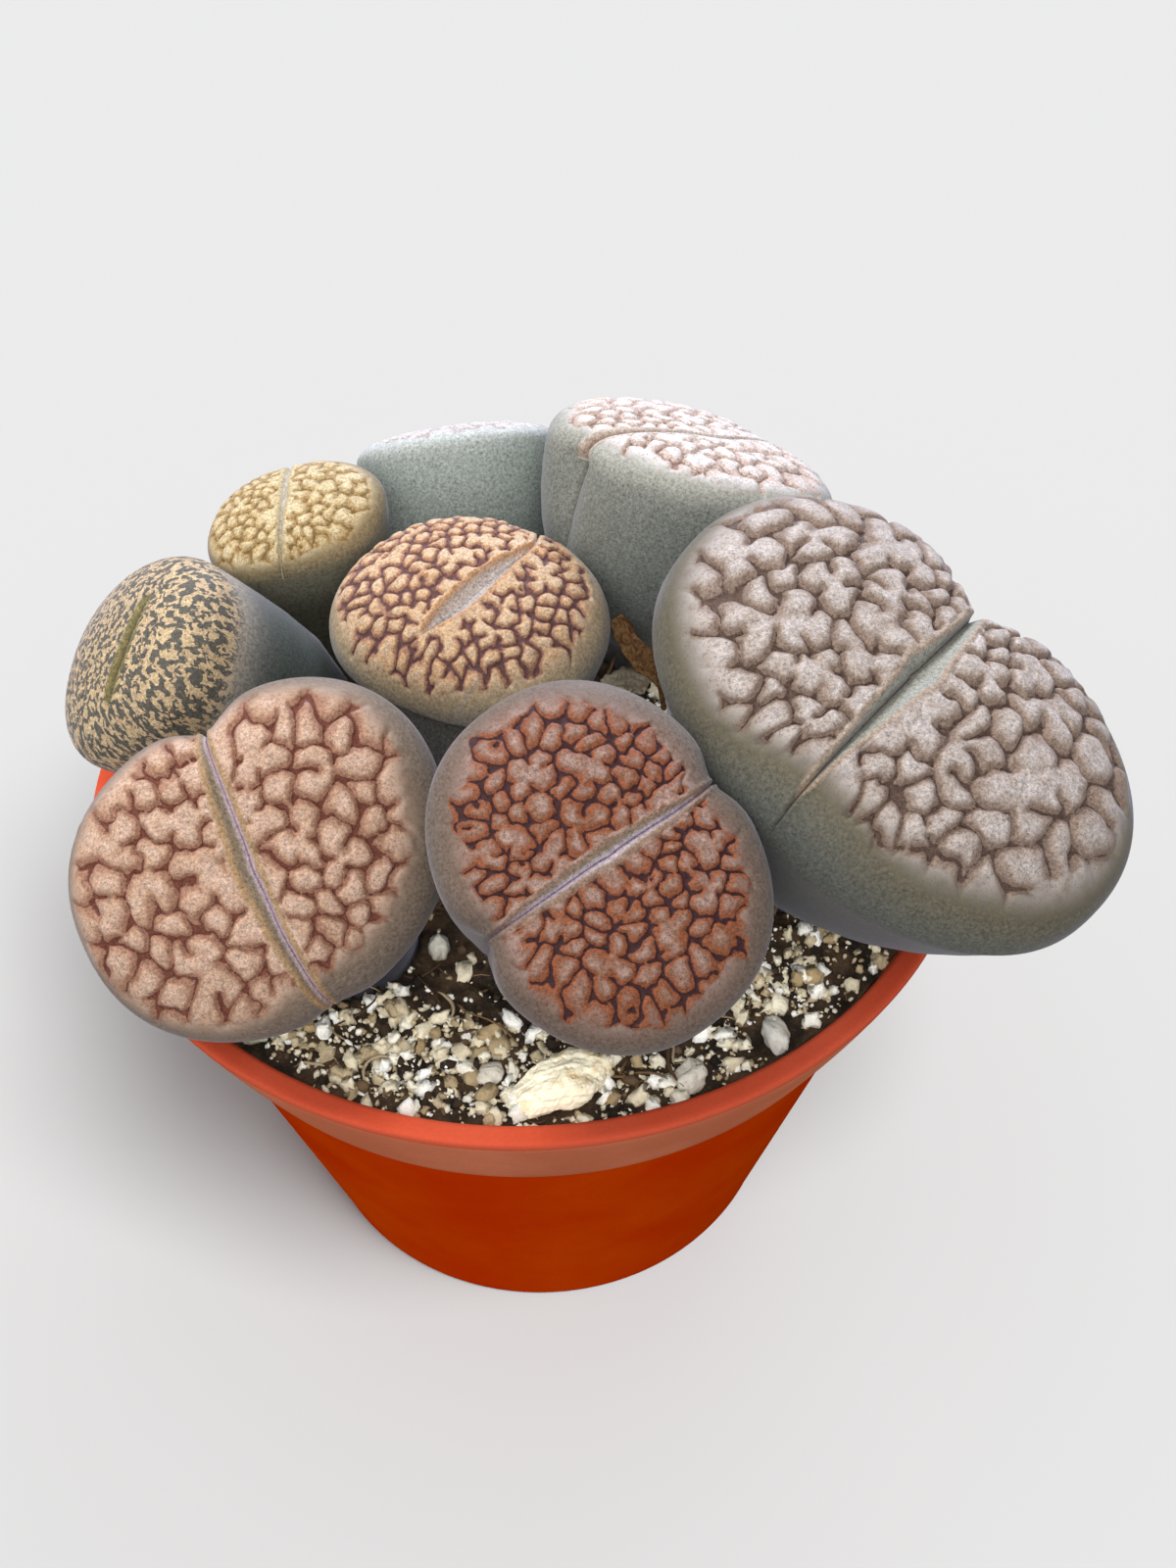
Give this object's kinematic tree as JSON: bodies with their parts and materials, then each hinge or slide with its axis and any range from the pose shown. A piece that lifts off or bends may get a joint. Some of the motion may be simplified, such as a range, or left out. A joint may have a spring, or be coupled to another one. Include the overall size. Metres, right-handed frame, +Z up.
{
  "type": "potted lithops",
  "caption": "Round plastic pot with a collar band, filled with gritty soil and crowded with cleft, cobble-patterned living-stone plants that lean outwards",
  "frame": {"origin": "centre of the pot's foot, on the surface the pot stands on", "axes": "+Z up along the pot's axis, -Y towards the front where the soil is open, +X towards the large plant"},
  "size_m": [0.114, 0.1032, 0.1027],
  "materials": {
    "pot": "satin",
    "soil": "matte",
    "skin_mottled": "matte",
    "skin_yellow": "matte",
    "skin_pale": "matte",
    "skin_tan": "matte",
    "skin_pink": "matte",
    "skin_red": "matte",
    "skin_grey": "matte",
    "stone": "matte",
    "sheath": "matte"
  },
  "bodies": {
    "root": {"pot": "pot", "soil": "soil", "lithops_mottled": "skin_mottled", "lithops_yellow": "skin_yellow", "lithops_back_left": "skin_pale", "lithops_back_right": "skin_pale", "lithops_centre": "skin_tan", "lithops_front_left": "skin_pink", "lithops_front": "skin_red", "lithops_large": "skin_grey", "stone_cream": "stone", "stone_1": "stone", "stone_2": "stone", "stone_3": "stone", "stone_4": "stone", "stone_5": "stone", "sheath_curl": "sheath", "sheath_scrap": "sheath"}
  },
  "joints": []
}
